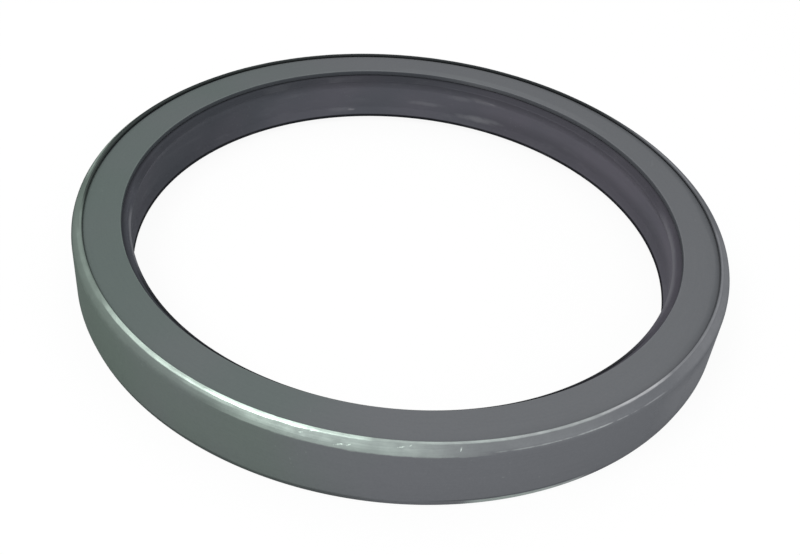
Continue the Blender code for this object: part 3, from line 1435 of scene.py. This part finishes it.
@dataclass(frozen=True)
class Softbox:
    """A square studio light that points at the seal.

    Attributes:
        name: Name of the light.
        azimuth: Direction from the seal, anticlockwise from +X seen from above.
        elevation: Angle above the floor.
        distance: How far away it stands.
        size: Length of its side.
        power: Its power in watts.
    """

    name: str
    azimuth: float
    elevation: float
    distance: float
    size: float
    power: float

    def build(self) -> None:
        """Stand the light up."""
        data = bpy.data.lights.new(self.name, "AREA")
        data.shape = "SQUARE"
        data.size = self.size
        data.energy = self.power
        light = add_object(self.name, data)
        rise = math.radians(self.elevation)
        back = toward(self.azimuth) * math.cos(rise) + Vector((0.0, 0.0, math.sin(rise)))
        light.location = back * self.distance
        light.rotation_euler = back.to_track_quat("Z", "Y").to_euler()
        log.info("%s stands", light.name)


@dataclass(frozen=True)
class Studio:
    """The floor, the lights and the camera.

    Attributes:
        lens_pixels: Focal length in pixels of the photograph's frame.
        distance: Distance of the camera from the middle of the base.
        elevation: Height of the camera as an angle, in radians.
        roll: Turn of the camera about its view, in radians.
        yaw: Turn of the view to the side, in radians.
        pitch: Turn of the view up or down, in radians.
        floor_size: Length of the floor's side.
        floor_drop: How far the floor lies under the base.
        ambient: Strength of the pale room light.
        floor_glow: Share of plain white that the camera sees on the floor.
        lights: The lights.
    """

    lens_pixels: float = 1080.1
    distance: float = 0.3300
    elevation: float = 0.6665
    roll: float = 0.1126
    yaw: float = -0.0016
    pitch: float = -0.0177
    floor_size: float = 8.0
    floor_drop: float = 0.05 * MM
    ambient: float = 0.70
    floor_glow: float = 0.93
    lights: tuple[Softbox, ...] = (
        Softbox("key_softbox", 226.0, 53.0, 0.95, 0.42, 3.4),
        Softbox("fill_softbox", 336.0, 14.0, 1.4, 0.9, 5.0),
        Softbox("back_softbox", 80.0, 60.0, 1.4, 1.0, 2.4),
    )

    def camera(self) -> None:
        """Place the camera where the photograph was taken from."""
        back = Vector((0.0, -math.cos(self.elevation), math.sin(self.elevation)))
        right = Vector((1.0, 0.0, 0.0))
        level = Matrix((right, right.cross(-back), back)).transposed()
        turn = Matrix.Rotation(self.yaw, 3, "Y") @ Matrix.Rotation(self.pitch, 3, "X")
        turn = turn @ Matrix.Rotation(self.roll, 3, "Z")
        data = bpy.data.cameras.new("photo_camera")
        data.sensor_width = SENSOR_WIDTH
        data.lens = self.lens_pixels * SENSOR_WIDTH / PHOTO_WIDTH
        data.clip_start = 0.01
        data.clip_end = 50.0
        camera = add_object("photo_camera", data)
        camera.matrix_world = Matrix.Translation(back * self.distance) @ (level @ turn).to_4x4()
        bpy.context.scene.camera = camera

    def seen(self, wires: Wiring) -> Socket:
        """Tell the rays that see a background from those that light the object.

        Args:
            wires: Wiring of the material or world.

        Returns:
            1 for camera, glossy and transmission rays.
        """
        path = wires.add("ShaderNodeLightPath").outputs
        direct = wires.math("MAXIMUM", path["Is Camera Ray"], path["Is Glossy Ray"])
        return wires.math("MAXIMUM", direct, path["Is Transmission Ray"])

    def floor(self) -> None:
        """Lay the pale floor."""
        half, low = self.floor_size / 2, -self.floor_drop
        mesh = bpy.data.meshes.new("pale_floor")
        ends = ((-half, -half), (half, -half), (half, half), (-half, half))
        mesh.from_pydata([(x, y, low) for x, y in ends], [], [(0, 1, 2, 3)])
        surface = Surface("pale_floor")
        mottle = surface.noise(surface.spot, 3.0)
        pale = surface.blend(mottle, paint(250, 250, 250), paint(252, 252, 252))
        surface.shade(Base_Color=pale, Roughness=0.9, Specular_IOR_Level=0.0)
        share = surface.math("MULTIPLY", self.seen(surface), self.floor_glow)
        mixed = surface.fill(surface.add("ShaderNodeMixShader"), "Shader", share,
                             surface.shader.outputs["BSDF"],
                             surface.add("ShaderNodeEmission").outputs["Emission"])
        surface.feed(surface.output.inputs["Surface"], mixed)
        mesh.materials.append(surface.material)
        floor = add_object("pale_floor", mesh)

    def room(self) -> None:
        """Set the pale room round the object."""
        world = bpy.data.worlds.new("pale_room")
        world.use_nodes = True
        world.node_tree.nodes.clear()
        wires = Wiring(world.node_tree)
        strength = wires.math("MULTIPLY_ADD", self.seen(wires), 1.0 - self.ambient, self.ambient)
        light = wires.put("ShaderNodeBackground", "Background", Strength=strength,
                          Color=(1.0, 1.0, 1.0, 1.0))
        wires.feed(wires.add("ShaderNodeOutputWorld").inputs["Surface"], light)
        bpy.context.scene.world = world

    def build(self) -> None:
        """Build the whole studio."""
        self.camera()
        self.floor()
        self.room()
        for light in self.lights:
            light.build()
        bpy.context.scene.view_settings.view_transform = "Standard"


CASE_FINISH = SteelFinish(
    name="phosphated_case",
    left_tint=paint(96, 107, 101),
    right_tint=paint(103, 105, 109),
    bare_and_highlight_left=paint(216, 235, 224),
    bare_and_highlight_right=paint(219, 219, 222),
    painted_shade_and_grain=paint(44, 48, 48),
    worn_roughness=0.36,
    edges=(
        # Crest at the front and sides: scuffed bare steel; its strength by azimuth also paints the
        # crest's highlight.
        WearAndPaintedLightEdge(92.45, 20.0, 0.66, 0.38, Look.SOLID, 200.0, 262.0, 58.0, 30.0),
        WearAndPaintedLightEdge(92.6, 20.0, 0.92, 0.98, Look.SOLID, 200.0, 252.0, 13.0, 6.0, 0.5),
        WearAndPaintedLightEdge(92.6, 20.0, 0.93, 0.68, Look.EVEN, 200.0, 240.0, 15.0, 6.0, 0.6),
        WearAndPaintedLightEdge(92.6, 20.0, 0.86, 0.71, Look.EVEN, 200.0, 232.0, 18.0, 5.0, 0.6),
        WearAndPaintedLightEdge(92.9, 19.8, 1.1, 0.16, Look.SOLID, 200.0, 208.0, 14.0, 7.0, 0.3),
        WearAndPaintedLightEdge(92.55, 20.0, 0.8, 0.62, Look.SOLID, 200.0, 262.0, 10.0, 4.0, 0.5),
        WearAndPaintedLightEdge(92.45, 20.0, 0.52, 0.42, Look.SOLID, 200.0, 311.0, 11.0, 4.0),
        WearAndPaintedLightEdge(92.5, 20.0, 0.4, 0.12, Look.SOLID, 200.0, 334.0, 20.0, 10.0),
        # Painted highlight on the crest at the left.
        WearAndPaintedLightEdge(93.6, 19.4, 0.75, 0.6, Look.SOLID, 200.0, 170.0, 14.0, 5.0),
        # Scuffed steel all round the crest.
        WearAndPaintedLightEdge(92.4, 20.0, 0.45, 0.1, Look.PATCHY, 120.0),
        # Cone band: partly scuffed steel, partly a painted highlight; low down it is lightened
        # against its shade.
        WearAndPaintedLightEdge(93.1, 19.7, 1.2, 0.28, Look.EVEN, 260.0, 259.0, 26.0, 13.0, 0.5),
        WearAndPaintedLightEdge(93.6, 19.2, 2.2, 0.17, Look.EVEN, 420.0, 267.0, 21.0, 10.0, 0.88),
        WearAndPaintedLightEdge(94.4, 18.6, 1.1, 0.29, Look.EVEN, 420.0, 264.0, 22.0, 8.0, 0.8),
        WearAndPaintedLightEdge(93.6, 19.2, 2.1, 0.07, Look.SOLID, 420.0, 245.0, 70.0, 46.0),
        WearAndPaintedLightEdge(93.8, 19.2, 2.0, 0.07, Look.SOLID, 260.0, 343.0, 26.0, 12.0),
        # Painted light on the wall at the right.
        WearAndPaintedLightEdge(95.0, 9.5, 9.0, 0.05, Look.SOLID, 60.0, 336.0, 22.0, 10.0),
        # Scuffed lower edge of the crimp, at the front right and at the back.
        WearAndPaintedLightEdge(94.85, 18.35, 0.28, 0.24, Look.BROKEN, 220.0, 301.0, 20.0, 8.0),
        WearAndPaintedLightEdge(94.8, 18.4, 0.36, 0.2, Look.BROKEN, 160.0, 95.0, 85.0, 60.0),
        # Painted highlight on the bottom bevel, where light from the floor falls.
        WearAndPaintedLightEdge(94.7, 1.0, 1.1, 0.4, Look.SOLID, 160.0, 293.0, 11.0, 7.0, 0.7),
        # Scuffed base edges all round.
        WearAndPaintedLightEdge(94.45, 0.0, 0.5, 0.16, Look.BROKEN, 90.0),
        WearAndPaintedLightEdge(84.0, 0.0, 0.45, 0.14, Look.BROKEN, 120.0),
    ),
    painted_shade_edges=(
        # Painted shade in the gap under the crimp, on the crimp's inner side and over the cone at
        # the back.
        WearAndPaintedLightEdge(92.0, 19.2, 0.4, 0.45, Look.SOLID, 200.0),
        WearAndPaintedLightEdge(92.1, 19.9, 0.55, 0.82, Look.EVEN, 200.0, 176.0, 18.0, 9.0, 0.7),
        WearAndPaintedLightEdge(92.7, 19.8, 1.35, 0.88, Look.SOLID, 60.0, 107.0, 79.0, 56.0, 0.75),
        WearAndPaintedLightEdge(92.3, 19.9, 0.7, 0.3, Look.EVEN, 200.0, 10.0, 9.0, 3.0, 0.5),
        WearAndPaintedLightEdge(94.0, 19.0, 2.0, 0.34, Look.PATCHY, 90.0, 100.0, 79.0, 56.0),
        # Painted shade along the crimp's outer side at the left.
        WearAndPaintedLightEdge(95.0, 17.9, 1.3, 0.6, Look.SOLID, 60.0, 172.0, 34.0, 18.0),
        WearAndPaintedLightEdge(94.4, 18.6, 1.2, 0.1, Look.SOLID, 60.0, 214.0, 30.0, 16.0),
        # Painted shade on the bottom bevel and low wall at the left, and a painted shadow line above
        # the lit bevel strip.
        WearAndPaintedLightEdge(94.7, 0.8, 1.6, 0.45, Look.PATCHY, 60.0, 235.0, 40.0, 26.0),
        WearAndPaintedLightEdge(95.0, 2.3, 0.26, 0.4, Look.SOLID, 90.0, 290.0, 14.0, 8.0),
    ),
    marks=(
        Mark(255.0, 92.95, 19.85, 0.8, 0.2, 0.8, 12.0, 36.0),
        Mark(258.7, 93.9, 19.1, 1.3, 0.22, 0.5, 14.0, 36.0),
        Mark(260.3, 93.1, 19.7, 1.2, 0.24, 0.7, 18.0, 36.0),
        Mark(264.4, 94.5, 18.65, 1.8, 0.26, 0.7, 16.0, 36.0),
        Mark(265.8, 94.3, 18.8, 0.9, 0.2, 0.7, 30.0, 36.0),
        Mark(273.0, 93.6, 19.3, 1.5, 0.24, 0.7, 14.0, 36.0),
        Mark(274.4, 93.2, 19.6, 0.8, 0.2, 0.7, 40.0, 36.0),
        Mark(281.5, 93.8, 19.2, 0.7, 0.3, 0.7, 70.0, 36.0),
    ),
)
FACE_FINISH = SteelFinish(
    name="phosphated_face",
    left_tint=paint(94, 104, 101),
    right_tint=paint(103, 105, 108),
    bare_and_highlight_left=paint(160, 170, 166),
    bare_and_highlight_right=paint(160, 162, 166),
    painted_shade_and_grain=paint(63, 66, 71),
    worn_roughness=0.4,
    edges=(
        WearAndPaintedLightEdge(81.6, 19.2, 0.3, 0.1, Look.BROKEN, 120.0),
        WearAndPaintedLightEdge(83.0, 19.2, 1.8, 0.07, Look.SOLID, 60.0, 68.0, 32.0, 12.0),
    ),
    painted_shade_edges=(
        # Painted shade on the face beside the crimp's gap.
        WearAndPaintedLightEdge(92.3, 18.9, 0.6, 0.4, Look.SOLID, 150.0),
        WearAndPaintedLightEdge(92.3, 19.2, 1.0, 0.95, Look.SOLID, 150.0, 155.0, 30.0, 14.0, 0.5),
        WearAndPaintedLightEdge(91.3, 19.2, 1.6, 0.22, Look.PATCHY, 60.0, 15.0, 60.0, 30.0),
        # Painted shade on the face's inner edge and in the gap under it.
        WearAndPaintedLightEdge(81.4, 18.1, 1.15, 0.85, Look.EVEN, 120.0, 138.0, 72.0, 45.0, 0.7),
        WearAndPaintedLightEdge(81.4, 18.1, 1.15, 0.6, Look.EVEN, 120.0, 18.0, 68.0, 45.0, 0.7),
        WearAndPaintedLightEdge(81.5, 17.8, 0.55, 0.8, Look.EVEN, 120.0, 270.0, 85.0, 60.0, 0.6),
    ),
)
LIP_FINISH = RubberFinish(
    name="moulded_rubber",
    body=paint(77, 80, 86),
    bloom=paint(91, 89, 97),
    dust=paint(132, 133, 137),
    painted_shade_colour=paint(22, 24, 27),
    roughness=0.68,
    painted_shade_bands=(
        # Painted shade under the face's edge, over the lip's head and slope, on the wall at the left
        # and low down, and over the dust lip.
        WearAndPaintedLightEdge(80.4, 17.6, 4.2, 0.32, Look.SOLID, 40.0),
        WearAndPaintedLightEdge(80.6, 17.4, 1.45, 0.42, Look.EVEN, 40.0, 125.0, 72.0, 45.0, 0.6),
        WearAndPaintedLightEdge(79.6, 17.0, 1.9, 0.56, Look.EVEN, 40.0, 132.0, 62.0, 42.0, 0.25),
        WearAndPaintedLightEdge(79.7, 17.1, 1.7, 0.47, Look.EVEN, 40.0, 55.0, 60.0, 36.0, 0.25),
        WearAndPaintedLightEdge(80.4, 5.5, 5.0, 0.22, Look.SOLID, 40.0, 35.0, 50.0, 28.0, 0.2),
        WearAndPaintedLightEdge(80.5, 8.0, 11.0, 0.28, Look.SOLID, 40.0, 165.0, 42.0, 14.0),
        WearAndPaintedLightEdge(80.3, 17.2, 1.7, 0.45, Look.SOLID, 40.0, 268.0, 74.0, 42.0, 0.3),
        WearAndPaintedLightEdge(79.4, 16.9, 1.3, 0.97, Look.EVEN, 40.0, 268.0, 68.0, 48.0, 0.7),
        WearAndPaintedLightEdge(79.2, 2.2, 1.0, 0.95, Look.EVEN, 40.0, crispness=0.7),
    ),
    painted_highlight_edges=(
        # Painted highlights along the sealing lip's edge, at the left and at the right.
        WearAndPaintedLightEdge(79.0, 16.4, 1.05, 0.4, Look.SOLID, 90.0, 199.0, 12.0, 6.0, 0.4),
        WearAndPaintedLightEdge(79.2, 15.9, 1.8, 0.3, Look.SOLID, 90.0, 352.0, 22.0, 9.0, 0.4),
    ),
    painted_reflections=(
        # Light streaks painted as reflections on the bore's back wall.
        Mark(107.2, 80.5, 4.6, 2.0, 0.5, 0.55, 0.0, 90.0, 1200.0, 1.0),
        Mark(110.0, 80.5, 4.8, 7.0, 1.4, 0.16, 0.0, 90.0, 220.0, 1.0),
        Mark(88.0, 80.5, 8.0, 9.0, 1.2, 0.22, 0.0, 90.0, 260.0, 1.0),
        Mark(79.5, 80.5, 12.4, 7.0, 1.5, 0.16, -3.0, 90.0, 220.0, 1.0),
        Mark(73.5, 80.5, 13.2, 8.0, 1.4, 0.26, 3.0, 90.0, 260.0, 1.0),
        Mark(72.0, 80.5, 13.2, 4.0, 0.55, 0.42, 4.0, 90.0, 500.0, 1.2),
        Mark(75.0, 80.5, 5.8, 9.0, 1.6, 0.42, 0.0, 90.0, 220.0, 1.0),
        Mark(70.6, 80.5, 6.3, 6.5, 1.2, 0.26, 3.0, 90.0, 260.0, 1.0),
    ),
)
WIRE_FINISH = SpringFinish(
    name="drawn_spring_wire",
    wire=paint(176, 178, 182),
    grease=paint(92, 84, 66),
    roughness=0.28,
)


def main() -> None:
    """Build the studio and the seal, and note their sizes."""
    logging.basicConfig(level=logging.INFO, format="%(name)s: %(message)s")
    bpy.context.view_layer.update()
    Studio().build()
    effects = Effects()
    lathe = Lathe()
    OuterCase().build(lathe, CASE_FINISH.build(effects))
    InnerCase().build(lathe, FACE_FINISH.build(effects))
    SealLip().build(lathe, LIP_FINISH.build(effects))
    GarterSpring().build(WIRE_FINISH.build(effects))


if __name__ == "__main__":
    main()
